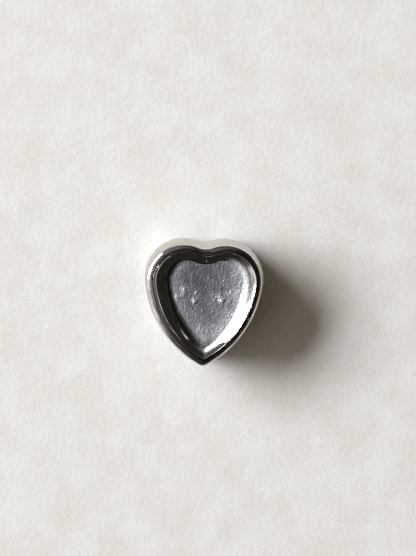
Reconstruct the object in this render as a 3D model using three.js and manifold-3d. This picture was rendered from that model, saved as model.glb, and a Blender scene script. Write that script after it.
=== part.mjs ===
import * as THREE from 'three';
import { mergeVertices } from 'three/addons/utils/BufferGeometryUtils.js';
import Module from 'manifold-3d';

// Heart charm bead in polished silver, lying on its back. Millimetres.
// +Z leaves the mouth of the open cup, +Y points at the cleft between the lobes, and the bore for
// the cord runs along X. The origin is the centre of the back face.

// The heart at its widest: the half outline is a cleft, a lobe, a flank and a tip, all tangent arcs
const WIDTH = 11.6;
const HEIGHT = 12.2;
const CLEFT_RADIUS = 1.9;
const LOBE_RADIUS = 3.8;
const FLANK_RADIUS = 10.3;
const TIP_RADIUS = 1;
const CORNER_RADIUS = 0.3;

// The side wall, barrelled from the back to the shoulder of the rim
const WIDEST_Z = 4.2;
const SIDE_RADIUS = 26;
const SHOULDER_RADIUS = 0.36;

// Body shell, whose wall ends in the outer lip
const BODY_WALL = 0.72;
const LIP_EDGE = 0.02;

// Cup: its wall slopes in from a bevelled lip to a rounded foot and a dished floor, which is
// narrower and longer than the lip's outline
const CUP_SHEET = 0.3;
const LIP_BEVEL = 0.11;
const BEVEL_SLOPE = 44.3;
const WALL_REACH = 1.2;
const WALL_SLOPE = 25.5;
const FOOT_RADIUS = 1;
const FLOOR_INSET = 1.8;
const FLOOR_NARROWING = 0.13;
const FLOOR_STRETCH = 0.015;
const DISH_INSET = 3;
const DISH_DEPTH = 0.2;

// Plate that closes the back
const PLATE_THICKNESS = 0.6;
const PLATE_STEP = 0.04;
const PLATE_EDGE = 0.45;

// Tube that lines the bore
const BORE = 4.6;
const TUBE_WALL = 0.3;
const TUBE_Y = 1.2;
const TUBE_TO_PLATE = 0.25;
const TUBE_TO_CUP = 1.08;
const TUBE_END_RECESS = 0.03;

// Room for solder between neighbours
const SOLDER_GAP = 0.04;

// Facets
const CLEFT_STEPS = 5;
const LOBE_STEPS = 18;
const FLANK_STEPS = 14;
const TIP_STEPS = 4;
const PROFILE_STEPS = 6;
const DISH_STEPS = 4;
const TUBE_SIDES = 48;

// Sizes that follow: the plate, the tube and the cup are stacked, and the depth is their sum
const TUBE_OUTER = BORE / 2 + TUBE_WALL;
const TUBE_Z = PLATE_THICKNESS + TUBE_TO_PLATE + TUBE_OUTER;
const CUP_FLOOR_Z = TUBE_Z + TUBE_OUTER + TUBE_TO_CUP + CUP_SHEET;
const STEEPEST = THREE.MathUtils.degToRad(WALL_SLOPE);
const FOOT_REACH = FOOT_RADIUS * Math.sin(STEEPEST);
const FOOT_RISE = FOOT_RADIUS * (1 - Math.cos(STEEPEST));
const WALL_RISE = FOOT_RISE + (WALL_REACH - FOOT_REACH) * Math.tan(STEEPEST);
const BEVEL_RISE = LIP_BEVEL * Math.tan(THREE.MathUtils.degToRad(BEVEL_SLOPE));
const DEPTH = CUP_FLOOR_Z + WALL_RISE + BEVEL_RISE;
const LIP_OUTER = BODY_WALL + SOLDER_GAP;
const LIP_INNER = LIP_OUTER + CUP_SHEET;
const FLOOR_TOP = HEIGHT / 2 - FLOOR_INSET;

const wasm = await Module();
wasm.setup();

// Points on an arc, from one angle to another, as [along, up] pairs
function arc([along, up], radius, from, to, steps) {
  return Array.from({ length: steps + 1 }, (_, i) => {
    const angle = from + ((to - from) * i) / steps;
    return [along + radius * Math.cos(angle), up + radius * Math.sin(angle)];
  });
}

// The heart's outline, drawn in by an inset, as a closed ring of points. Every ring has as many
// points, so that two of them can be joined by a strip of faces. A ring that has settled towards
// the cup's floor is narrower and longer, and keeps its top edge.
function heartRing(inset, settled) {
  const lobe = [WIDTH / 2 - LOBE_RADIUS, HEIGHT / 2 - LOBE_RADIUS];
  const cleft = [0, lobe[1] + Math.sqrt((LOBE_RADIUS + CLEFT_RADIUS) ** 2 - lobe[0] ** 2)];
  const flank = flankCentre(lobe, [0, TIP_RADIUS - HEIGHT / 2]);

  const tipRadius = Math.max(TIP_RADIUS - inset, CORNER_RADIUS);
  const reach = FLANK_RADIUS - inset - tipRadius;
  const tip = [0, flank[1] - Math.sqrt(reach ** 2 - flank[0] ** 2)];

  const toLobe = angleTo(cleft, lobe);
  const alongFlank = angleTo(flank, lobe);
  const toTip = angleTo(flank, tip);
  const down = -Math.PI / 2;
  const half = [
    ...arc(cleft, CLEFT_RADIUS + inset, down, toLobe, CLEFT_STEPS),
    ...arc(lobe, LOBE_RADIUS - inset, toLobe + Math.PI, alongFlank, LOBE_STEPS).slice(1),
    ...arc(flank, FLANK_RADIUS - inset, alongFlank, toTip, FLANK_STEPS).slice(1),
    ...arc(tip, tipRadius, toTip, down, TIP_STEPS).slice(1),
  ];
  const mirrored = half.slice(1, -1).reverse().map(([x, y]) => [-x, y]);
  const narrower = 1 - FLOOR_NARROWING * settled;
  const longer = 1 + FLOOR_STRETCH * settled;
  return [...half, ...mirrored].reverse().map(([x, y]) => [
    x * narrower,
    FLOOR_TOP + (y - FLOOR_TOP) * longer,
  ]);
}

function angleTo(from, to) {
  return Math.atan2(to[1] - from[1], to[0] - from[0]);
}

// Centre of the flank arc, which holds the lobe and the tip circles inside it and touches both
function flankCentre(lobe, tip) {
  const toLobe = FLANK_RADIUS - LOBE_RADIUS;
  const toTip = FLANK_RADIUS - TIP_RADIUS;
  const apart = Math.hypot(tip[0] - lobe[0], tip[1] - lobe[1]);
  const along = (toLobe ** 2 - toTip ** 2 + apart ** 2) / (2 * apart);
  const aside = Math.sqrt(toLobe ** 2 - along ** 2);
  const unit = [(tip[0] - lobe[0]) / apart, (tip[1] - lobe[1]) / apart];
  return [
    lobe[0] + along * unit[0] + aside * unit[1],
    lobe[1] + along * unit[1] - aside * unit[0],
  ];
}

// A solid whose section, as [inset, z, settled] steps, follows the heart's outline all round. An
// open section starts and ends with a flat heart-shaped face, and a closed one makes a ring.
function heartSolid(section, closed) {
  const rings = section.map(([inset, z, settled = 0]) =>
    heartRing(inset, settled).map(([x, y]) => [x, y, z]));
  const count = rings[0].length;
  const index = [];
  const strips = closed ? rings.length : rings.length - 1;
  for (let r = 0; r < strips; r++) {
    const near = r * count;
    const far = ((r + 1) % rings.length) * count;
    for (let i = 0; i < count; i++) {
      const next = (i + 1) % count;
      index.push(near + i, near + next, far + next);
      index.push(near + i, far + next, far + i);
    }
  }
  if (!closed) {
    const faces = (ring) =>
      THREE.ShapeUtils.triangulateShape(ring.map(([x, y]) => new THREE.Vector2(x, y)), []);
    const last = (rings.length - 1) * count;
    faces(rings[0]).forEach(([a, b, c]) => index.push(c, b, a));
    faces(rings.at(-1)).forEach(([a, b, c]) => index.push(last + a, last + b, last + c));
  }
  const geometry = new THREE.BufferGeometry();
  geometry.setAttribute('position', new THREE.Float32BufferAttribute(rings.flat(2), 3));
  geometry.setIndex(index);
  return geometry;
}

// How far the barrelled side lies inside the widest outline at a height
function sideInset(z) {
  return SIDE_RADIUS - Math.sqrt(SIDE_RADIUS ** 2 - (z - WIDEST_Z) ** 2);
}

// The side, from a height up to the end of the shoulder, which rolls over towards the rim
function sideAndShoulder(fromZ, endInset) {
  const z = DEPTH - SHOULDER_RADIUS;
  const reach = SIDE_RADIUS - SHOULDER_RADIUS;
  const shoulder = [SIDE_RADIUS - Math.sqrt(reach ** 2 - (z - WIDEST_Z) ** 2), z];
  const start = Math.PI - Math.asin((z - WIDEST_Z) / reach);
  const startZ = z + SHOULDER_RADIUS * Math.sin(start);
  const side = Array.from({ length: PROFILE_STEPS + 1 }, (_, i) => {
    const at = fromZ + ((startZ - fromZ) * i) / PROFILE_STEPS;
    return [sideInset(at), at];
  });
  const roll = arc(shoulder, SHOULDER_RADIUS, start, Math.PI / 2, PROFILE_STEPS);
  return [...side, ...roll.slice(1), [endInset, DEPTH]];
}

function toManifold(geometry) {
  const bare = geometry.clone();
  bare.deleteAttribute('normal');
  bare.deleteAttribute('uv');
  const merged = mergeVertices(bare, 1e-5);
  return new wasm.Manifold(new wasm.Mesh({
    numProp: 3,
    vertProperties: merged.attributes.position.array,
    triVerts: new Uint32Array(merged.index.array),
  }));
}

function toGeometry(manifold) {
  const mesh = manifold.getMesh();
  const geometry = new THREE.BufferGeometry();
  geometry.setAttribute('position', new THREE.BufferAttribute(mesh.vertProperties, 3));
  geometry.setIndex(new THREE.BufferAttribute(mesh.triVerts, 1));
  return geometry;
}

// A round bar along X on the bore's axis, long enough to pass right through the bead
function boreBar(radius) {
  const bar = new THREE.CylinderGeometry(radius, radius, 2 * WIDTH, TUBE_SIDES);
  bar.rotateZ(Math.PI / 2);
  bar.translate(0, TUBE_Y, TUBE_Z);
  return toManifold(bar);
}

// Shell with a flat lip, a straight wall inside and a hole in each flank
function bodyGeometry() {
  const shell = toManifold(heartSolid([
    ...sideAndShoulder(PLATE_THICKNESS, BODY_WALL - LIP_EDGE),
    [BODY_WALL, DEPTH - LIP_EDGE],
    [BODY_WALL, PLATE_THICKNESS],
  ], true));
  return toGeometry(shell.subtract(boreBar(TUBE_OUTER + SOLDER_GAP)));
}

// A surface of the cup's sheet, down its sloping wall, round its foot and into its dished floor, as
// section steps. The inner one lies at depth 0, and the outer one below it.
function cupSurface(wallInset, below) {
  const floorInset = FLOOR_INSET - below;
  const floorZ = CUP_FLOOR_Z - below;
  const start = STEEPEST - Math.PI / 2;
  const foot = arc([0, FOOT_RADIUS], FOOT_RADIUS, start, -Math.PI / 2, PROFILE_STEPS);
  const wall = [[WALL_REACH, WALL_RISE], ...foot].map(([reach, rise]) => {
    const settled = 1 - reach / WALL_REACH;
    return [wallInset + (floorInset - wallInset) * settled, floorZ + rise, settled];
  });
  const dish = Array.from({ length: DISH_STEPS }, (_, i) => {
    const share = (i + 1) / DISH_STEPS;
    const sunk = DISH_DEPTH * (1 - (1 - share) ** 2);
    return [floorInset + (DISH_INSET - floorInset) * share, floorZ - sunk, 1];
  });
  return [...wall, ...dish];
}

// Cup from the middle of its floor's underside up its outside, over its lip and down its inside
function cupGeometry() {
  return heartSolid([
    ...cupSurface(LIP_OUTER, CUP_SHEET).reverse(),
    [LIP_OUTER, DEPTH - LIP_EDGE],
    [LIP_OUTER + LIP_EDGE, DEPTH],
    [LIP_INNER - LIP_BEVEL, DEPTH],
    ...cupSurface(LIP_INNER, 0),
  ], false);
}

// Plate lapped over the shell's rear edge, with its own edge rounded down to the back face
function plateGeometry() {
  const edge = sideInset(PLATE_THICKNESS) + PLATE_STEP;
  const below = Math.PI * 1.5;
  return heartSolid([
    ...arc([edge + PLATE_EDGE, PLATE_EDGE], PLATE_EDGE, below, Math.PI, PROFILE_STEPS),
    [edge, PLATE_THICKNESS],
  ], false);
}

// Tube from flank to flank, its ends filed to the curve of the shell
function tubeGeometry() {
  const outline = sideAndShoulder(PLATE_THICKNESS, BODY_WALL);
  const envelope = outline.map(([inset, z]) => [inset + TUBE_END_RECESS, z]);
  const ring = boreBar(TUBE_OUTER).subtract(boreBar(BORE / 2));
  return toGeometry(ring.intersect(toManifold(heartSolid(envelope, false))));
}

const polished = { color: 0xd2cfca, metalness: 1, roughness: 0.12 };
const satin = { color: 0xa9abb0, metalness: 1, roughness: 0.38 };

function piece(name, geometry, look) {
  const mesh = new THREE.Mesh(geometry, new THREE.MeshStandardMaterial(look));
  mesh.name = name;
  return mesh;
}

const bead = new THREE.Group();
bead.add(
  piece('heart_body', bodyGeometry(), polished),
  piece('bezel_cup', cupGeometry(), satin),
  piece('back_plate', plateGeometry(), polished),
  piece('core_tube', tubeGeometry(), polished),
);

export default bead;
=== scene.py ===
"""Heart charm bead in polished silver, lying on its back on a pale floor, seen from above."""

import math

import bmesh
import bpy
from mathutils import Matrix, Vector, noise


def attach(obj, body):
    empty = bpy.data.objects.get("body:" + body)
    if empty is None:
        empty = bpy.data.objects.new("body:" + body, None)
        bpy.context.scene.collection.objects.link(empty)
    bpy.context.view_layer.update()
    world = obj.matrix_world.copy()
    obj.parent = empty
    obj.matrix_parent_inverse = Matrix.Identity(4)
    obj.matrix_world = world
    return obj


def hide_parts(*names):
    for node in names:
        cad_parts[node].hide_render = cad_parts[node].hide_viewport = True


# The pieces are worked out in millimetres and scaled to metres as they are finished
MM = 0.001

# The heart at its widest: the half outline is a cleft, a lobe, a flank and a tip, all tangent arcs
HEART_WIDTH = 11.6
HEART_HEIGHT = 12.2
CLEFT_RADIUS = 1.9
LOBE_RADIUS = 3.8
FLANK_RADIUS = 10.3
TIP_RADIUS = 1.0
CORNER_RADIUS = 0.3

# The side wall, barrelled from the back to the shoulder of the rim
WIDEST_Z = 4.2
SIDE_RADIUS = 26
SHOULDER_RADIUS = 0.36

# Body shell, whose wall ends in the outer lip
BODY_WALL = 0.72
LIP_ROUND = 0.003
LIP_CROWN = 2.0
CROWN_PAST_SEAM = 0.32

# Cup: its wall slopes in from the lip to a rounded foot and a floor that is narrower and longer
CUP_SHEET = 0.3
CUP_LIP_CROWN = 0.9
LIP_BEVEL = 0.11
BEVEL_SLOPE = 42.6
BEVEL_HOLD = 0.12
WALL_REACH = 1.2
WALL_SLOPE = 25.5
FOOT_RADIUS = 1.0
FLOOR_INSET = 1.8
FLOOR_NARROWING = 0.13
FLOOR_STRETCH = 0.015
CUP_ASIDE = 0.1

# Back plate
PLATE_THICKNESS = 0.6
PLATE_STEP = 0.04
PLATE_EDGE = 0.45
SEAM_ROUND = 0.06

# Tube that lines the bore
BORE_RADIUS = 2.3
TUBE_WALL = 0.3
TUBE_Y = 1.2
TUBE_TO_PLATE = 0.25
TUBE_TO_CUP = 1.08
TUBE_MOUTH_ROUND = 0.14
TUBE_END_ROUND = 0.03
TUBE_END_RECESS = 0.03

SOLDER_GAP = 0.04

# Sizes that follow from the stack of the plate, the tube and the cup
TUBE_OUTER = BORE_RADIUS + TUBE_WALL
TUBE_Z = PLATE_THICKNESS + TUBE_TO_PLATE + TUBE_OUTER
CUP_FLOOR_Z = TUBE_Z + TUBE_OUTER + TUBE_TO_CUP + CUP_SHEET
STEEPEST = math.radians(WALL_SLOPE)
FOOT_REACH = FOOT_RADIUS * math.sin(STEEPEST)
FOOT_RISE = FOOT_RADIUS * (1 - math.cos(STEEPEST))
WALL_RISE = FOOT_RISE + (WALL_REACH - FOOT_REACH) * math.tan(STEEPEST)
BEVEL_RISE = LIP_BEVEL * math.tan(math.radians(BEVEL_SLOPE))
DEPTH = CUP_FLOOR_Z + WALL_RISE + BEVEL_RISE
LIP_OUTER = BODY_WALL + SOLDER_GAP
LIP_INNER = LIP_OUTER + CUP_SHEET
FLOOR_TOP = HEART_HEIGHT / 2 - FLOOR_INSET

# Mesh steps along the heart's arcs, across its sections, over the cup's floor and round the bore
CLEFT_STEPS = 14
LOBE_STEPS = 60
FLANK_STEPS = 52
TIP_STEPS = 12
SIDE_STEPS = 44
ROUND_STEPS = 10
SMALL_STEPS = 4
FLOOR_STEPS = 90
PATCH_CUTS = 5
BORE_STEPS = 120
MOUTH_STEPS = 6
END_STEPS = 3

# Where the rounded edge of the bore's hole has its rings, in degrees
HOLE_EDGE_ANGLES = (30, 60, 90)

# How close two points are that become one
MERGE_WITHIN = 1e-4

# The patch of faces that gives way to the bore: its reach aside and up from the axis, and down
PATCH_REACH = 2.95
PATCH_DROP = 2.8

# Depths below the flank of the tube's rings: down its bore, and back down its outside
BORE_DEPTHS = (4.0, 3.0, 2.0, 1.0, 0.5)
TUBE_DEPTHS = (1.0, 3.0)

UP = (0, 0, 1)


def clamped(value):
    """A value kept from 0 to 1"""
    return min(1, max(0, value))


def angle_to(start, end):
    """Direction from one point to another, in radians"""
    return math.atan2(end[1] - start[1], end[0] - start[0])


def flank_centre(lobe, tip):
    """Centre of the flank's arc, which holds the lobe's and the tip's circles and touches both"""
    to_lobe = FLANK_RADIUS - LOBE_RADIUS
    to_tip = FLANK_RADIUS - TIP_RADIUS
    apart = math.dist(lobe, tip)
    along = (to_lobe**2 - to_tip**2 + apart**2) / (2 * apart)
    aside = math.sqrt(to_lobe**2 - along**2)
    unit = ((tip[0] - lobe[0]) / apart, (tip[1] - lobe[1]) / apart)
    return (
        lobe[0] + along * unit[0] + aside * unit[1],
        lobe[1] + along * unit[1] - aside * unit[0],
    )


LOBE = (HEART_WIDTH / 2 - LOBE_RADIUS, HEART_HEIGHT / 2 - LOBE_RADIUS)
CLEFT = (0, LOBE[1] + math.sqrt((LOBE_RADIUS + CLEFT_RADIUS) ** 2 - LOBE[0] ** 2))
FLANK = flank_centre(LOBE, (0, TIP_RADIUS - HEART_HEIGHT / 2))
LOBE_START = angle_to(CLEFT, LOBE)
FLANK_START = angle_to(FLANK, LOBE)

# Where the rings that close a heart-shaped face meet
CLOSING_Y = LOBE[1] / 3


def heart_arcs(inset):
    """Centre, turn and steps of the four arcs of the half outline, drawn in by an inset"""
    tip_radius = max(TIP_RADIUS - inset, CORNER_RADIUS)
    reach = FLANK_RADIUS - inset - tip_radius
    tip = (0, FLANK[1] - math.sqrt(reach**2 - FLANK[0] ** 2))
    tip_start = angle_to(FLANK, tip)
    down = -math.pi / 2
    return [
        (CLEFT, LOBE_START - down, CLEFT_STEPS),
        (LOBE, FLANK_START - LOBE_START - math.pi, LOBE_STEPS),
        (FLANK, tip_start - FLANK_START, FLANK_STEPS),
        (tip, down - tip_start, TIP_STEPS),
    ]


def half_heart(bm, inset, z, settled=0):
    """Edges of half the outline at an inset: a point at the cleft, spun round each arc's centre"""
    outline = bmesh.new()
    point = [outline.verts.new((0, CLEFT[1] - CLEFT_RADIUS - inset, z))]
    for centre, turn, steps in heart_arcs(inset):
        spun = bmesh.ops.spin(
            outline, geom=point, cent=(*centre, z), axis=UP, angle=turn, steps=steps
        )
        point = [v for v in spun["geom_last"] if isinstance(v, bmesh.types.BMVert)]
    bmesh.ops.scale(
        outline,
        vec=(1 - FLOOR_NARROWING * settled, 1 + FLOOR_STRETCH * settled, 1),
        verts=outline.verts,
        space=Matrix.Translation((0, -FLOOR_TOP, 0)),
    )
    line = bpy.data.meshes.new("outline")
    outline.to_mesh(line)
    outline.free()
    first_edge = len(bm.edges)
    bm.from_mesh(line)
    bpy.data.meshes.remove(line)
    bm.edges.ensure_lookup_table()
    return bm.edges[first_edge:]


def loft(bm, section, ring=None):
    """Faces through the half outline at each step of a section, from a ring if one is given"""
    faces = []
    inset_layer = bm.verts.layers.float.get("inset") or bm.verts.layers.float.new("inset")
    for inset, z, *settled in section:
        fresh = half_heart(bm, inset, z, *settled)
        for v in ends(fresh):
            v[inset_layer] = inset
        if ring:
            faces += bmesh.ops.bridge_loops(bm, edges=ring + fresh)["faces"]
        ring = fresh
    return ring, faces


def cup_wall(mouth, below, steps):
    """A section down the cup's sloping wall from its mouth: inset, z and how far it has settled"""
    rises = [WALL_RISE - (WALL_RISE - FOOT_RISE) * i / steps for i in range(steps + 1)]
    return [
        cup_step(FOOT_REACH + (rise - FOOT_RISE) / math.tan(STEEPEST), rise, mouth, below)
        for rise in rises
    ]


def cup_foot(mouth, below, steps):
    """The section's rounded foot, which ends level with the floor"""
    slopes = [STEEPEST * (1 - i / steps) for i in range(1, steps + 1)]
    return [
        cup_step(FOOT_RADIUS * math.sin(a), FOOT_RADIUS * (1 - math.cos(a)), mouth, below)
        for a in slopes
    ]


def cup_step(reach, rise, mouth, below):
    """A step of the cup's section, which lies a reach outside the floor and a rise above it"""
    settled = 1 - reach / WALL_REACH
    inset = mouth + (FLOOR_INSET - below - mouth) * settled
    return inset, CUP_FLOOR_Z - below + rise, settled


def arc(centre, radius, start, end, steps):
    """Points of a section on an arc between two angles in degrees"""
    angles = [math.radians(start + (end - start) * i / steps) for i in range(steps + 1)]
    return [
        (centre[0] + radius * math.cos(a), centre[1] + radius * math.sin(a)) for a in angles
    ]


def ends(edges):
    """The vertices of a chain of edges"""
    return list({v for e in edges for v in e.verts})


def grow(bm, ring):
    """A ring of edges extruded by nothing: its new vertices and its new edges"""
    made = bmesh.ops.extrude_edge_only(bm, edges=ring)["geom"]
    verts = [g for g in made if isinstance(g, bmesh.types.BMVert)]
    fresh = set(verts)
    edges = [
        g for g in made if isinstance(g, bmesh.types.BMEdge) and fresh.issuperset(g.verts)
    ]
    return verts, edges


def close_to_centre(bm, ring, steps):
    """Rings that shrink to one point, which close a flat heart-shaped face"""
    height = ends(ring)[0].co.z
    centre = Vector((0, CLOSING_Y, height))
    for left in range(steps, 1, -1):
        verts, ring = grow(bm, ring)
        share = (left - 1) / left
        bmesh.ops.scale(
            bm, vec=(share, share, 1), verts=verts, space=Matrix.Translation(-centre)
        )
    verts, ring = grow(bm, ring)
    bmesh.ops.pointmerge(bm, verts=verts, merge_co=centre)


def side_inset(z):
    """How far the barrelled side lies inside the widest outline at a height"""
    return SIDE_RADIUS - math.sqrt(SIDE_RADIUS**2 - (z - WIDEST_Z) ** 2)


def wall_inset(z):
    """How far the inside of the wall lies inside the widest outline, alike at every height"""
    return BODY_WALL


def flank_arc(y, z, inset_at):
    """The flank's arc at a place: its centre, its radius at its widest and its radius there"""
    inset = inset_at(z)
    join = FLANK[1] + (FLANK_RADIUS - inset) * math.sin(FLANK_START)
    centre, radius = (LOBE, LOBE_RADIUS) if y > join else (FLANK, FLANK_RADIUS)
    return centre, radius, radius - inset


def flank_x(y, z, inset_at):
    """How far out the flank of the heart lies at a place on it"""
    centre, _, radius = flank_arc(y, z, inset_at)
    return centre[0] + math.sqrt(radius**2 - (y - centre[1]) ** 2)


def widest_y(y, z, inset_at):
    """Where the column of vertices through a place on the flank meets the widest outline"""
    centre, widest, radius = flank_arc(y, z, inset_at)
    return centre[1] + (y - centre[1]) * widest / radius


def set_round_bore(verts, radius, inset_at, sink):
    """Puts a ring of vertices on a circle round the bore, a depth below the flank"""
    for v in verts:
        out = Vector((v.co.y - TUBE_Y, v.co.z - TUBE_Z)).normalized() * radius
        y, z = TUBE_Y + out.x, TUBE_Z + out.y
        v.co = (flank_x(y, z, inset_at) - sink, y, z)


def cut_bore(bm, faces, radius, inset_at):
    """A round hole in a flank: a patch of faces gives way to rings that end in a circle"""
    def near_bore(face):
        aside = [widest_y(v.co.y, v.co.z, inset_at) - TUBE_Y for v in face.verts]
        above = [v.co.z - TUBE_Z for v in face.verts]
        level = -PATCH_DROP < min(above) and max(above) < PATCH_REACH
        return level and max(map(abs, aside)) < PATCH_REACH

    patch = {f for f in faces if near_bore(f)}
    rim = {e for f in patch for e in f.edges if any(g not in patch for g in e.link_faces)}
    bmesh.ops.delete(bm, geom=list(patch), context="FACES")
    verts, circle = grow(bm, list(rim))
    set_round_bore(verts, radius, inset_at, 0)
    spokes = {e for v in verts for e in v.link_edges} - set(circle)
    cut = bmesh.ops.subdivide_edges(bm, edges=list(spokes), cuts=PATCH_CUTS, use_grid_fill=True)
    for v in {g for g in cut["geom_inner"] if isinstance(g, bmesh.types.BMVert)}:
        v.co.x = flank_x(v.co.y, v.co.z, inset_at)
    return circle


def add_other_half(bm):
    """Mirrors a half piece across the plane through the cleft and the tip"""
    half = [*bm.verts, *bm.edges, *bm.faces]
    bmesh.ops.mirror(bm, geom=half, merge_dist=MERGE_WITHIN, axis="X")
    bmesh.ops.remove_doubles(bm, verts=bm.verts, dist=MERGE_WITHIN)


def finish_piece(bm, name, material, nodes):
    """Makes a closed piece in millimetres an object that stands for its CAD node"""
    bmesh.ops.recalc_face_normals(bm, faces=bm.faces)
    bmesh.ops.scale(bm, vec=(MM, MM, MM), verts=bm.verts)
    mesh = bpy.data.meshes.new(name)
    bm.to_mesh(mesh)
    bm.free()
    mesh.materials.append(material)
    mesh.shade_smooth()
    piece = bpy.data.objects.new(name, mesh)
    bpy.context.scene.collection.objects.link(piece)
    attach(piece, "root")
    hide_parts(*nodes)
    return piece


def shoulder_section():
    """The outside of the body from its rear edge up its side and over its shoulder, and its lip"""
    start_z = DEPTH - SHOULDER_RADIUS
    reach = SIDE_RADIUS - SHOULDER_RADIUS
    inset = SIDE_RADIUS - math.sqrt(reach**2 - (start_z - WIDEST_Z) ** 2)
    start = 180 - math.degrees(math.asin((start_z - WIDEST_Z) / reach))
    low = PLATE_THICKNESS + SEAM_ROUND
    high = start_z + SHOULDER_RADIUS * math.sin(math.radians(start))
    edge = arc((side_inset(low) + SEAM_ROUND, low), SEAM_ROUND, 270, 180, SMALL_STEPS)
    heights = [low + (high - low) * i / SIDE_STEPS for i in range(SIDE_STEPS)]
    side = [(side_inset(z), z) for z in heights]
    top = BODY_WALL + CROWN_PAST_SEAM
    lean = math.asin((top - inset) / (LIP_CROWN - SHOULDER_RADIUS))
    roll_z = DEPTH - LIP_CROWN + (LIP_CROWN - SHOULDER_RADIUS) * math.cos(lean)
    roll = arc((inset, roll_z), SHOULDER_RADIUS, start, 90 + math.degrees(lean), ROUND_STEPS)
    return edge[:-1] + side + roll, lip_crown(roll[-1][0], BODY_WALL, top, LIP_CROWN)


def lip_crown(start, end, top, radius):
    """A crowned lip from one inset to another, highest at the inset top, with its end rounded"""
    width = end - LIP_ROUND - start
    insets = [start + width * i / ROUND_STEPS for i in range(1, ROUND_STEPS + 1)]
    drop = DEPTH - radius
    crown = [(inset, drop + math.sqrt(radius**2 - (inset - top) ** 2)) for inset in insets]
    foot = crown[-1][1] - LIP_ROUND
    return crown + arc((end - LIP_ROUND, foot), LIP_ROUND, 90, 0, SMALL_STEPS)[1:]


def make_body(material):
    """The shell: its side and rim, then its inner wall, each with a hole for the bore"""
    bm = bmesh.new()
    outside, lip = shoulder_section()
    last, faces = loft(bm, outside)
    bm.edges.ensure_lookup_table()
    first = bm.edges[: len(last)]
    hole = TUBE_OUTER + SOLDER_GAP
    outer = cut_bore(bm, faces, hole + SEAM_ROUND, side_inset)
    for angle in HOLE_EDGE_ANGLES:
        verts, outer = grow(bm, outer)
        turn = math.radians(angle)
        radius = hole + SEAM_ROUND * (1 - math.sin(turn))
        set_round_bore(verts, radius, side_inset, SEAM_ROUND * (1 - math.cos(turn)))

    last, _ = loft(bm, lip, last)
    lip_z = lip[-1][1]
    low = PLATE_THICKNESS + SEAM_ROUND
    heights = [lip_z + (low - lip_z) * i / SIDE_STEPS for i in range(1, SIDE_STEPS + 1)]
    wall = [(BODY_WALL, z) for z in [*heights, PLATE_THICKNESS]]
    last, faces = loft(bm, wall, last)
    bmesh.ops.bridge_loops(bm, edges=first + last)
    inner = cut_bore(bm, faces, hole, wall_inset)
    bmesh.ops.bridge_loops(bm, edges=outer + inner)
    add_other_half(bm)
    lean_with_cup(bm)
    return finish_piece(bm, "silver_heart_body", material, ["heart_body"])


def lean_with_cup(bm):
    """Moves the wall aside as far as the cup, and the rim less and less out to its shoulder"""
    inset_layer = bm.verts.layers.float["inset"]
    for v in bm.verts:
        share = (v[inset_layer] - SHOULDER_RADIUS) / (BODY_WALL - SHOULDER_RADIUS)
        v.co.x += CUP_ASIDE * clamped(share)


# The cup's floor, as cast: a shallow dish, a few lumps and an uneven skin.
# Each lump has its place across and along, its height and its spread.
DISH_CENTRE = (0.1, 0.3)
BEND_EAST = 0.0185
BEND_WEST = 0.002
BEND_NORTH = 0.0125
BEND_SOUTH = 0.006
DISH_LEVEL = 0.2
DISH_FADE = 0.5
LUMPS = [
    (-1.93, 1.43, 0.046, 0.13),
    (-1.80, 1.17, 0.024, 0.22),
    (-0.75, 1.18, 0.029, 0.09),
    (-0.88, 0.34, 0.046, 0.21),
    (1.50, 0.80, 0.024, 0.16),
    (1.72, 0.44, 0.056, 0.19),
    (2.45, 1.12, 0.018, 0.14),
    (-2.58, 0.70, 0.026, 0.22),
]
LUMP_WARP = 0.05
LUMP_GRAIN = 0.16
SWELL_SIZE = 1.3
SWELL_HEIGHT = 0.016
GRAIN_SIZE = 0.3
GRAIN_HEIGHT = 0.005

# Marks on the cup's vertices: how far they are left as cast, and how near they are to a lump.
# The two marks stand for the foot and the floor until their places are known.
FOOT_MARK = 0.5
FLOOR_MARK = 2
EDGE_BLEND = 0.4
EDGE_BLEND_GROWTH = 0.15
EDGE_WEST = (-1.6, -0.5)
FOOT_BLEND = 1.5
FOOT_SLANT = 0.3
SATIN_CLIMB = 0.22
GLINT_SPREAD = 2.2

# Levels at which the noise of the lumps' edges, the swell and the grain is read
WARP_LEVEL = 8
SWELL_LEVEL = 2
GRAIN_LEVEL = 5


def floor_height(x, y):
    """How far the cup's floor lies above its plane at a place"""
    across, along = x - DISH_CENTRE[0], y - DISH_CENTRE[1]
    height = (BEND_EAST if across > 0 else BEND_WEST) * across**2 - DISH_LEVEL
    height += (BEND_NORTH if along > 0 else BEND_SOUTH) * along**2
    warp = LUMP_WARP * noise.noise_vector(Vector((x, y, WARP_LEVEL)) / LUMP_GRAIN)
    x, y = x + warp.x, y + warp.y
    for lump_x, lump_y, lump, spread in LUMPS:
        height += lump * math.exp(-((x - lump_x) ** 2 + (y - lump_y) ** 2) / spread**2)
    height += SWELL_HEIGHT * noise.noise(Vector((x, y, SWELL_LEVEL)) / SWELL_SIZE)
    return height + GRAIN_HEIGHT * noise.noise(Vector((x, y, GRAIN_LEVEL)) / GRAIN_SIZE)


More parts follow.
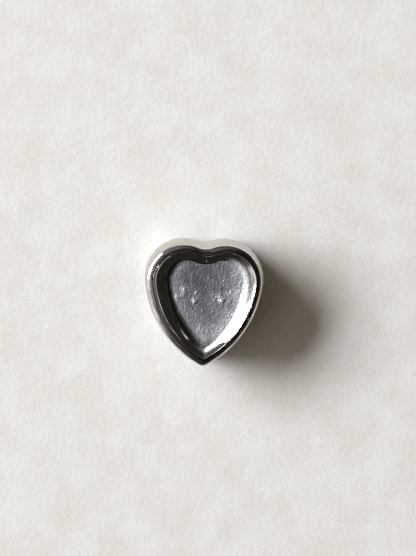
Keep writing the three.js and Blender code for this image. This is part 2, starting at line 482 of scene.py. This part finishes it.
def cup_sections():
    """The cup's section from under its floor up over its lip, and down inside from its bevel"""
    bevel_top = LIP_INNER - LIP_BEVEL
    reach = bevel_top - LIP_OUTER - LIP_ROUND
    lip_edge = DEPTH - CUP_LIP_CROWN + math.sqrt(CUP_LIP_CROWN**2 - reach**2)
    under = cup_wall(LIP_OUTER, CUP_SHEET, SMALL_STEPS)
    under += cup_foot(LIP_OUTER, CUP_SHEET, SMALL_STEPS)
    lip = arc((LIP_OUTER + LIP_ROUND, lip_edge - LIP_ROUND), LIP_ROUND, 180, 90, SMALL_STEPS)
    lip += lip_crown(LIP_OUTER + LIP_ROUND, bevel_top, bevel_top, CUP_LIP_CROWN)
    lip = lip[:-SMALL_STEPS] + bevel_steps(bevel_top)
    inside = cup_wall(LIP_INNER, 0, ROUND_STEPS) + cup_foot(LIP_INNER, 0, ROUND_STEPS)
    return under[::-1] + lip, inside


def make_cup(material):
    """The cup in the bead's face, from under its floor over its lip to its floor's middle"""
    bm = bmesh.new()
    outside, inside = cup_sections()
    last, _ = loft(bm, outside)
    underside = bm.edges[: len(last)]
    inside_from = len(bm.verts)
    last, _ = loft(bm, inside, last)
    floor_from = len(bm.verts)
    close_to_centre(bm, last, FLOOR_STEPS)
    floor_to = len(bm.verts)
    close_to_centre(bm, underside, ROUND_STEPS)
    cast = bm.verts.layers.float.new("cast")
    ring_of = bm.verts.layers.float.new("ring")
    glint = bm.verts.layers.float.new("glint")
    bm.verts.ensure_lookup_table()
    for v in bm.verts[inside_from:floor_from]:
        v[cast] = FOOT_MARK
    per_ring = len(ends(last))
    for v in bm.verts[floor_from:floor_to]:
        v[cast] = FLOOR_MARK
        v[ring_of] = (v.index - floor_from) // per_ring + 1
    add_other_half(bm)
    bmesh.ops.translate(bm, vec=(CUP_ASIDE, 0, 0), verts=bm.verts)
    soften_cast_edge(bm, cast, ring_of)
    soften_cast_foot(bm, cast)
    mark_lumps(bm, glint)
    shape_floor(bm)
    return finish_piece(bm, "silver_bezel_cup", material, ["bezel_cup"])


def mark_lumps(bm, glint):
    """Marks how near each vertex is to the lumps of the floor"""
    for v in bm.verts:
        for lump_x, lump_y, _, spread in LUMPS:
            far = math.hypot(v.co.x - lump_x, v.co.y - lump_y) / (spread * GLINT_SPREAD)
            v[glint] = min(1, v[glint] + math.exp(-far * far))


def soften_cast_foot(bm, cast):
    """Lets the cast skin climb the foot of the wall on its east side, where it fades out"""
    for v in bm.verts:
        if v[cast] == FOOT_MARK:
            east = clamped((v.co.x - FOOT_SLANT * v.co.y) / FOOT_BLEND)
            climbed = (v.co.z - CUP_FLOOR_Z - FOOT_RISE) / SATIN_CLIMB
            v[cast] = east * clamped(1 - climbed)


def soften_cast_edge(bm, cast, ring_of):
    """Lets the polish of the wall fade out over the floor's edge on its west side"""
    for v in bm.verts:
        if v[cast] == FLOOR_MARK:
            out = Vector((v.co.x, v.co.y - CLOSING_Y))
            inward = out.length * v[ring_of] / max(1, FLOOR_STEPS - v[ring_of])
            share = inward / (EDGE_BLEND + EDGE_BLEND_GROWTH * max(0, -v.co.y))
            side = out.normalized() if out.length else out
            west = clamped(side.x * EDGE_WEST[0] + side.y * EDGE_WEST[1])
            v[cast] = 1 - west * (1 - min(1, share))


def bevel_steps(start):
    """The bevel inside the lip, with a step close to each edge so that its face stays flat"""
    return [
        (start + LIP_BEVEL * share, DEPTH - BEVEL_RISE * share)
        for share in (0, BEVEL_HOLD, 1 - BEVEL_HOLD)
    ]


def shape_floor(bm):
    """Gives the cup's floor its dish and lumps, which fade out up the foot of the wall"""
    for v in bm.verts:
        above = v.co.z - CUP_FLOOR_Z
        if above < DISH_FADE:
            fade = (1 - max(0, above) / DISH_FADE) ** 2
            v.co.z += fade * floor_height(v.co.x, v.co.y)


def make_plate(material):
    """The plate that closes the back, with a round edge and a small step to the shell"""
    bm = bmesh.new()
    edge = side_inset(PLATE_THICKNESS) + PLATE_STEP
    top = PLATE_THICKNESS - SEAM_ROUND
    section = arc((edge + PLATE_EDGE, PLATE_EDGE), PLATE_EDGE, 270, 180, ROUND_STEPS)
    section += arc((edge + SEAM_ROUND, top), SEAM_ROUND, 180, 90, SMALL_STEPS)
    last, _ = loft(bm, section)
    bm.edges.ensure_lookup_table()
    close_to_centre(bm, bm.edges[: len(last)], ROUND_STEPS)
    close_to_centre(bm, last, ROUND_STEPS)
    add_other_half(bm)
    return finish_piece(bm, "silver_back_plate", material, ["back_plate"])


def make_tube(material):
    """The bore's liner: half its length, from the middle out to its end and back outside"""
    bm = bmesh.new()
    place = Matrix.Translation((0, TUBE_Y, TUBE_Z)) @ Matrix.Rotation(math.pi / 2, 4, "Y")
    circle = bmesh.ops.create_circle(bm, radius=BORE_RADIUS, segments=BORE_STEPS, matrix=place)
    ring = list({e for v in circle["verts"] for e in v.link_edges})
    mouth = (BORE_RADIUS + TUBE_MOUTH_ROUND, -TUBE_MOUTH_ROUND)
    rounds = arc(mouth, TUBE_MOUTH_ROUND, 180, 90, MOUTH_STEPS)
    end = (TUBE_OUTER - TUBE_END_ROUND, -TUBE_END_ROUND)
    rounds += arc(end, TUBE_END_ROUND, 90, 0, END_STEPS)
    section = [(BORE_RADIUS, depth) for depth in BORE_DEPTHS]
    section += [(radius, -rise) for radius, rise in rounds]
    section += [(TUBE_OUTER, depth) for depth in TUBE_DEPTHS]
    for radius, depth in section:
        verts, ring = grow(bm, ring)
        set_round_bore(verts, radius, side_inset, TUBE_END_RECESS + depth)
    verts, ring = grow(bm, ring)
    for v in verts:
        v.co.x = 0
    add_other_half(bm)
    return finish_piece(bm, "silver_core_tube", material, ["core_tube"])


class Socket:
    """An output in a node tree. Arithmetic adds Math nodes, and make() adds any other node."""

    def __init__(self, tree, output=None):
        self.tree = tree
        self.output = output

    def make(self, kind, settings, inputs, out=0):
        node = self.tree.nodes.new("ShaderNode" + kind)
        for name, value in settings.items():
            setattr(node, name, value)
        for name, value in inputs.items():
            if isinstance(value, Socket):
                self.tree.links.new(value.output, node.inputs[name])
            else:
                node.inputs[name].default_value = value
        return Socket(self.tree, node.outputs[out])

    def math(self, operation, *values):
        return self.make("Math", {"operation": operation}, dict(enumerate(values)))

    def __add__(self, other):
        return self.math("ADD", self, other)

    __radd__ = __add__

    def __sub__(self, other):
        return self.math("SUBTRACT", self, other)

    def __rsub__(self, other):
        return self.math("SUBTRACT", other, self)

    def __mul__(self, other):
        return self.math("MULTIPLY", self, other)

    __rmul__ = __mul__

    def __truediv__(self, other):
        return self.math("DIVIDE", self, other)

    def __pow__(self, other):
        return self.math("POWER", self, other)

    def smooth(self, low, high):
        """0 below low, 1 above high, with a soft step between"""
        settings = {"interpolation_type": "SMOOTHSTEP"}
        return self.make("MapRange", settings, {0: self, 1: low, 2: high})

    def attribute(self, name):
        """A number that the mesh keeps on its vertices"""
        return self.make("Attribute", {"attribute_name": name}, {}, out=2)

    def noise(self, size, detail=2.0, roughness=0.5):
        """Noise over this vector, with features of a size in the vector's unit"""
        inputs = {"Vector": self, "Scale": 1 / size, "Detail": detail, "Roughness": roughness}
        return self.make("TexNoise", {}, inputs)

    def mix(self, first, second):
        """Two colours mixed by this factor"""
        return self.make("Mix", {"data_type": "RGBA"}, {0: self, 6: first, 7: second}, out=2)


def new_material(name):
    """A material's node tree, its principled shader and the object's own coordinates in mm"""
    material = bpy.data.materials.new(name)
    material.use_nodes = True
    tree = material.node_tree
    shader = tree.nodes["Principled BSDF"]
    root = Socket(tree)
    place = root.make("TexCoord", {}, {}, out=3)
    in_mm = root.make("Mapping", {}, {"Vector": place, "Scale": (1 / MM, 1 / MM, 1 / MM)})
    return material, shader, in_mm


def feed(shader, **sockets):
    """Links values to the shader's sockets, named with underscores for spaces"""
    for name, value in sockets.items():
        shader.id_data.links.new(value.output, shader.inputs[name.replace("_", " ")])


def feed_bump(shader, height):
    """Gives the shader's surface a bump of a height in mm"""
    bump = height.make("Bump", {}, {"Strength": 1, "Distance": MM, "Height": height})
    feed(shader, Normal=bump)


def near_rim(place, edge):
    """0 below the rim and 1 close to it, with a soft step between two depths under its top"""
    up = place.make("SeparateXYZ", {}, {"Vector": place}, out=2)
    return up.smooth(DEPTH - edge[0], DEPTH - edge[1])


# Polishing lines, drawn out along the rim, how far they are tarnished, and painted shade in the
# seam
LINE_STRETCH = (0.06, 0.06, 0)
LINE_WIDTH = 0.09
LINE_TARNISHED = (0.44, 0.6)
LINE_TARNISH = 0.8
SEAM_SHADE_REACH = (0.02, 0.09)


def rim_marks(place):
    """Fine polishing lines along the rim, how far they are tarnished, and painted shade in its
    seam
    """
    inset = place.attribute("inset")
    along = place.make("Mapping", {}, {"Vector": place, "Scale": LINE_STRETCH})
    across = place.make("CombineXYZ", {}, {2: inset})
    both = place.make("VectorMath", {"operation": "ADD"}, {0: along, 1: across})
    lines = both.noise(LINE_WIDTH, detail=3, roughness=0.6)
    from_seam = inset.math("ABSOLUTE", inset - (BODY_WALL + LIP_OUTER) / 2)
    # Darkens the seam between the body's lip and the cup's lip: painted shade
    seam = 1 - from_seam.smooth(*SEAM_SHADE_REACH)
    return lines, lines.smooth(*LINE_TARNISHED) * LINE_TARNISH + seam


# Polished silver: its colours, among them a darker copy for the side walls that is painted shade,
# what makes it rougher, and the sizes and heights of its marks
SILVER = (0.84, 0.82, 0.785, 1)
SILVER_SMUDGED = (0.77, 0.75, 0.71, 1)
SILVER_SIDE_PAINTED_SHADE = (0.60, 0.595, 0.56, 1)
# The dark colour serves the tarnished polishing lines and the painted shade in the seam
TARNISH_AND_SEAM_SHADE = (0.40, 0.37, 0.33, 1)
BODY_ROUGHNESS = 0.07
SIDE_SATIN = 0.28
SIDE_EDGE = (0.6, 0.2)
LIP_SATIN = 0.11
BODY_LIP_EDGE = (0.12, 0.06)
BODY_LINE_HEIGHT = 0.018
SMUDGE_SIZE = 1.6
SMUDGE_EDGE = (0.42, 0.62)
SMUDGE_SATIN = 0.03
SCRATCH_TURN = (0.4, 0.9, 0.5)
SCRATCH_STRETCH = (0.25, 1, 1)
SCRATCH_SIZE = 0.05
SCRATCH_EDGE = (0.6, 0.75)
SCRATCH_SATIN = 0.03
SCRATCH_HEIGHT = 0.00008
WAVE_SIZE = 1.1
WAVE_HEIGHT = 0.004
RIPPLE_SIZE = 0.3
RIPPLE_HEIGHT = 0.0006


def polished_silver():
    """Hand-polished silver: a slightly wavy mirror with smudges, fine scratches and rim lines,
    with painted shade on its side walls and in its seam
    """
    material, shader, place = new_material("polished_silver")
    shader.inputs["Metallic"].default_value = 1
    smudge = place.noise(SMUDGE_SIZE, detail=4).smooth(*SMUDGE_EDGE)
    turned = {"Vector": place, "Rotation": SCRATCH_TURN, "Scale": SCRATCH_STRETCH}
    scratches = place.make("Mapping", {}, turned).noise(SCRATCH_SIZE, detail=3, roughness=0.7)
    scratches = scratches.smooth(*SCRATCH_EDGE)
    side = 1 - near_rim(place, SIDE_EDGE)
    lip = near_rim(place, BODY_LIP_EDGE)
    lines, tarnish_and_seam_shade = rim_marks(place)
    rim_colour = tarnish_and_seam_shade.mix(smudge.mix(SILVER, SILVER_SMUDGED), TARNISH_AND_SEAM_SHADE)
    marks = smudge * SMUDGE_SATIN + scratches * SCRATCH_SATIN
    # The side walls take a darker copy of the silver: painted shade that dims their reflection
    feed(
        shader,
        Base_Color=side.mix(rim_colour, SILVER_SIDE_PAINTED_SHADE),
        Roughness=marks + side * SIDE_SATIN + lip * LIP_SATIN + BODY_ROUGHNESS,
    )
    waves = place.noise(WAVE_SIZE) * WAVE_HEIGHT + place.noise(RIPPLE_SIZE) * RIPPLE_HEIGHT
    feed_bump(shader, waves + scratches * SCRATCH_HEIGHT + lip * lines * BODY_LINE_HEIGHT)
    return material


# Satin silver: the cast skin of the cup's floor, and the polish of its wall and lip
CAST_LIGHT = (0.94, 0.96, 1.0, 1)
CAST_DARK = (0.44, 0.47, 0.54, 1)
CAST_ROUGHNESS = 0.43
CUP_ROUGHNESS = 0.05
CUP_LIP_EDGE = (0.032, 0.022)
CUP_LIP_LINE_HEIGHT = 0.02
CUP_WALL_LINE_HEIGHT = 0.005
MOTTLE_SIZE = 0.15
MOTTLE_SATIN = 0.08
MOTTLE_SHARE = 0.6
CLOUD_SIZE = 1.0
CLOUD_SHARE = 0.4
MOTTLE_EDGE = (0.4, 0.6)
WORN_AT = (-0.12, -0.42, 0)
WORN_SCALE = (0.30, 0.25, 0)
WORN_EDGE = (0.5, 1.3)
WORN_POLISH = 0.15
GLINT_PAINTED_HIGHLIGHT = 0.6
GLINT_SATIN = 0.03
GLINT_HEIGHT = 0.02
SKIN_SIZE = 0.2
SKIN_HEIGHT = 0.042
SKIN_LUMP_SIZE = 0.45
SKIN_LUMP_HEIGHT = 0.01


def satin_silver():
    """Silver left as cast inside the cup: a fine uneven skin with brighter grains on its lumps,
    partly a painted highlight that lightens its colour there
    """
    material, shader, place = new_material("satin_silver")
    shader.inputs["Metallic"].default_value = 1
    cast = place.attribute("cast")
    glint = place.attribute("glint")
    lip = near_rim(place, CUP_LIP_EDGE)
    mottle = place.noise(MOTTLE_SIZE, roughness=0.6).smooth(*MOTTLE_EDGE)
    cloud = place.noise(CLOUD_SIZE, detail=3).smooth(*MOTTLE_EDGE)
    dark = mottle * MOTTLE_SHARE + cloud * CLOUD_SHARE
    worn = place.make("Mapping", {}, {"Vector": place, "Location": WORN_AT, "Scale": WORN_SCALE})
    worn = worn.make("VectorMath", {"operation": "LENGTH"}, {0: worn}, out=1)
    worn = 1 - worn.smooth(*WORN_EDGE)
    # The cup's rim takes the same tarnished lines and the painted shade in its seam
    lines, tarnish_and_seam_shade = rim_marks(place)
    # Round the lumps the skin's colour is lightened: a painted highlight
    skin_colour = (dark * (1 - glint * GLINT_PAINTED_HIGHLIGHT)).mix(CAST_LIGHT, CAST_DARK)
    skin_satin = mottle * MOTTLE_SATIN - worn * WORN_POLISH + glint * GLINT_SATIN
    feed(
        shader,
        Base_Color=cast.mix(tarnish_and_seam_shade.mix(SILVER, TARNISH_AND_SEAM_SHADE), skin_colour),
        Roughness=cast * (skin_satin + CAST_ROUGHNESS) + lip * LIP_SATIN + CUP_ROUGHNESS,
    )
    skin = place.noise(SKIN_SIZE, roughness=0.6) * (glint * GLINT_HEIGHT + SKIN_HEIGHT)
    skin = skin + place.noise(SKIN_LUMP_SIZE) * SKIN_LUMP_HEIGHT
    lines = lines * (lip * CUP_LIP_LINE_HEIGHT + CUP_WALL_LINE_HEIGHT)
    feed_bump(shader, cast * skin + (1 - cast) * lines)
    return material


# The floor that the bead lies on: plaster, and how far it reaches in metres
PALE = (0.83, 0.835, 0.83, 1)
PALE_SHADE = (0.72, 0.71, 0.685, 1)
PLASTER_ROUGHNESS = 0.85
PLASTER_SHINE = 0.2
PLASTER_PATCH_SIZE = 4.0
PLASTER_PATCH_EDGE = (0.35, 0.65)
SPECK_SIZE = 0.35
SPECK_EDGE = (0.62, 0.75)
SPECK_SHARE = 0.5
PLASTER_GRAIN_SIZE = 0.5
PLASTER_GRAIN_HEIGHT = 0.05
PLASTER_SWELL_SIZE = 6.0
PLASTER_SWELL_HEIGHT = 0.12
FLOOR_REACH = 3.0


def make_floor():
    """Pale plaster with faint patches, specks and a fine grain"""
    material, shader, place = new_material("pale_floor")
    shader.inputs["Roughness"].default_value = PLASTER_ROUGHNESS
    shader.inputs["Specular IOR Level"].default_value = PLASTER_SHINE
    patches = place.noise(PLASTER_PATCH_SIZE, detail=5, roughness=0.65).smooth(*PLASTER_PATCH_EDGE)
    specks = place.noise(SPECK_SIZE, detail=3, roughness=0.7).smooth(*SPECK_EDGE)
    shade = patches * (1 - SPECK_SHARE) + specks * SPECK_SHARE
    feed(shader, Base_Color=shade.mix(PALE, PALE_SHADE))
    grain = place.noise(PLASTER_GRAIN_SIZE, detail=5, roughness=0.7) * PLASTER_GRAIN_HEIGHT
    feed_bump(shader, grain + place.noise(PLASTER_SWELL_SIZE, detail=3) * PLASTER_SWELL_HEIGHT)

    bm = bmesh.new()
    bmesh.ops.create_grid(bm, x_segments=1, y_segments=1, size=FLOOR_REACH)
    mesh = bpy.data.meshes.new("floor")
    bm.to_mesh(mesh)
    bm.free()
    mesh.materials.append(material)
    floor = bpy.data.objects.new("floor", mesh)
    bpy.context.scene.collection.objects.link(floor)


# The room: a wide window whose lamp casts the shadow, a lit wall, a dark side and a dark ceiling.
# Directions are in degrees, azimuth 0 along +X and 90 along +Y. Lamps are in metres and watts.
WINDOW_AZIMUTH = 158
WINDOW_ELEVATION = 36.5
LAMP_DISTANCE = 1.2
LAMP_WIDTH = 0.92
LAMP_HEIGHT = 0.54
LAMP_POWER = 20.2
LAMP_COLOUR = (1.0, 0.995, 0.98)
SILL_AZIMUTH = 178
SILL_HALF_ANGLE = 35
SILL_TOP = 24
SILL_SOFT = 2
SILL = (1.1, 1.1, 1.1, 1)
CURTAIN_AZIMUTH = 193
CURTAIN_HALF_ANGLE = 27
CURTAIN_TOP = 58
CURTAIN = (0.75, 0.75, 0.74, 1)
CURTAIN_SOFT = 7
LIT_WALL = (0.14, 0.135, 0.13, 1)
LIT_CEILING = (0.16, 0.14, 0.16, 1)
LIT_REACH = (-0.17, 0.64)
DARK_SIDE = (0.024, 0.023, 0.018, 1)
DARK_ABOVE = (0.006, 0.006, 0.004, 1)
DARK_EDGE = 48
DARK_SOFT = 6
CEILING_EDGE = 48
CEILING_SOFT = 8
BELOW = (0.40, 0.40, 0.39, 1)
BELOW_REACH = (-0.06, -0.02)
OVERHEAD = (0.016, 0.010, 0.007, 1)
OVERHEAD_REACH = 13
OVERHEAD_SOFT = 4
HORIZON = (0.85, 0.81, 0.72, 1)
HORIZON_TOP = 7
HORIZON_SOFT = 0.7
HORIZON_AZIMUTH = -12
HORIZON_HALF_ANGLE = 50
FILL_POWER = 0.75
FILL_WIDTH = 1.2
FILL_HEIGHT = 1.0
FILL_COLOUR = (1.0, 0.64, 0.22)


def towards(azimuth, elevation):
    """Unit vector in a direction given in degrees"""
    a, e = math.radians(azimuth), math.radians(elevation)
    return Vector((math.cos(e) * math.cos(a), math.cos(e) * math.sin(a), math.sin(e)))


def cosines(middle, soft):
    """The soft edge of a patch of the room, as the cosines of two angles from its middle"""
    return [math.cos(math.radians(middle + side * soft)) for side in (1, -1)]


def sines(middle, soft):
    """A soft edge at an elevation, as the heights of two directions"""
    return [math.sin(math.radians(middle + side * soft)) for side in (-1, 1)]


def paint_room(camera_side):
    """The room that the silver mirrors, drawn as bands and patches of the world's directions"""
    world = bpy.data.worlds.new("room")
    bpy.context.scene.world = world
    world.use_nodes = True
    tree = world.node_tree
    look = Socket(tree).make("TexCoord", {}, {}, out=0)
    height = look.make("SeparateXYZ", {}, {"Vector": look}, out=2)
    level = (1 - height * height) ** 0.5

    def facing(direction):
        dot = {"operation": "DOT_PRODUCT"}
        return look.make("VectorMath", dot, {0: look, 1: direction}, out=1)

    def around(azimuth):
        return facing(towards(azimuth, 0)) / level

    def standing(azimuth, half_angle, side_soft, top, top_soft):
        """A patch that stands on the horizon, with soft sides and a soft top"""
        patch = around(azimuth).smooth(*cosines(half_angle, side_soft))
        return patch * (1 - height.smooth(*sines(top, top_soft)))

    lit = height.smooth(*sines(CEILING_EDGE, CEILING_SOFT)).mix(LIT_WALL, LIT_CEILING)
    dark = height.smooth(*sines(DARK_EDGE, DARK_SOFT)).mix(DARK_SIDE, DARK_ABOVE)
    room = around(WINDOW_AZIMUTH).smooth(*LIT_REACH).mix(dark, lit)
    curtain = standing(
        CURTAIN_AZIMUTH, CURTAIN_HALF_ANGLE, CURTAIN_SOFT, CURTAIN_TOP, CURTAIN_SOFT
    )
    sill = standing(SILL_AZIMUTH, SILL_HALF_ANGLE, SILL_SOFT, SILL_TOP, SILL_SOFT)
    horizon = standing(
        HORIZON_AZIMUTH, HORIZON_HALF_ANGLE, SILL_SOFT, HORIZON_TOP, HORIZON_SOFT
    )
    for patch, colour in ((curtain, CURTAIN), (sill, SILL), (horizon, HORIZON)):
        room = patch.mix(room, colour)
    overhead = facing(camera_side).smooth(*cosines(OVERHEAD_REACH, OVERHEAD_SOFT))
    room = overhead.mix(room, OVERHEAD)
    room = height.smooth(*BELOW_REACH).mix(BELOW, room)
    background = tree.nodes["Background"]
    tree.links.new(room.output, background.inputs["Color"])
    background.inputs["Strength"].default_value = 1


def hang_lamps():
    """The window's lamp, which casts the shadow, and a warm wide one overhead that fills it"""
    place = towards(WINDOW_AZIMUTH, WINDOW_ELEVATION) * LAMP_DISTANCE
    lamp = add_lamp("window_lamp", LAMP_POWER, LAMP_COLOUR, place)
    lamp.data.shape = "ELLIPSE"
    lamp.data.size = LAMP_WIDTH
    lamp.data.size_y = LAMP_HEIGHT
    fill = add_lamp("fill_lamp", FILL_POWER, FILL_COLOUR, Vector((0, 0, FILL_HEIGHT)))
    fill.data.shape = "DISK"
    fill.data.size = FILL_WIDTH
    fill.visible_glossy = False


def add_lamp(name, power, colour, place):
    """Area lamp that faces the bead"""
    data = bpy.data.lights.new(name, "AREA")
    data.energy = power
    data.color = colour
    lamp = bpy.data.objects.new(name, data)
    lamp.location = place
    lamp.rotation_euler = place.to_track_quat("Z", "Y").to_euler()
    bpy.context.scene.collection.objects.link(lamp)
    return lamp


# The camera stands nearly overhead, a little towards the cleft and the left lobe, which lies west.
# Angles are in degrees, lengths in metres and the sensor in millimetres.
CAMERA_TILT_Y = 5.7
CAMERA_TILT_X = -1.6
CAMERA_ROLL = 1.25
CAMERA_DISTANCE = 0.2
VIEW_HEIGHT = 0.0533
VIEW_CENTRE = (0.000323, 0.00264, 0.0076)
SENSOR = 36
CLIP_START = 0.01
CLIP_END = 20


def set_camera():
    """Camera over the bead, and the direction in which it stands"""
    side = Vector(
        (math.tan(math.radians(CAMERA_TILT_X)), math.tan(math.radians(CAMERA_TILT_Y)), 1)
    ).normalized()
    camera_data = bpy.data.cameras.new("camera")
    camera_data.sensor_width = SENSOR
    camera_data.lens = SENSOR * CAMERA_DISTANCE / VIEW_HEIGHT
    camera_data.clip_start = CLIP_START
    camera_data.clip_end = CLIP_END
    camera = bpy.data.objects.new("camera", camera_data)
    camera.location = Vector(VIEW_CENTRE) + side * CAMERA_DISTANCE
    roll = Matrix.Rotation(math.radians(CAMERA_ROLL), 3, side)
    across = roll @ Vector((0, 1, 0)).cross(side).normalized()
    turn = Matrix((across, side.cross(across), side)).transposed()
    camera.rotation_euler = turn.to_euler()
    bpy.context.scene.collection.objects.link(camera)
    bpy.context.scene.camera = camera
    return side


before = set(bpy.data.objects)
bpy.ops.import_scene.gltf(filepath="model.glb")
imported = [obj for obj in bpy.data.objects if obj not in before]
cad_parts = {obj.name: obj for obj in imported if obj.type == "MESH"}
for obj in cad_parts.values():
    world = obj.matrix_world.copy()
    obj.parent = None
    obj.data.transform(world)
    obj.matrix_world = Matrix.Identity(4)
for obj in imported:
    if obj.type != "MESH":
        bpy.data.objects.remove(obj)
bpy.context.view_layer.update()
bpy.context.scene.view_settings.view_transform = "Standard"
camera_side = set_camera()
paint_room(camera_side)
hang_lamps()
make_floor()
polished = polished_silver()
satin = satin_silver()
make_body(polished)
make_cup(satin)
make_plate(polished)
make_tube(polished)
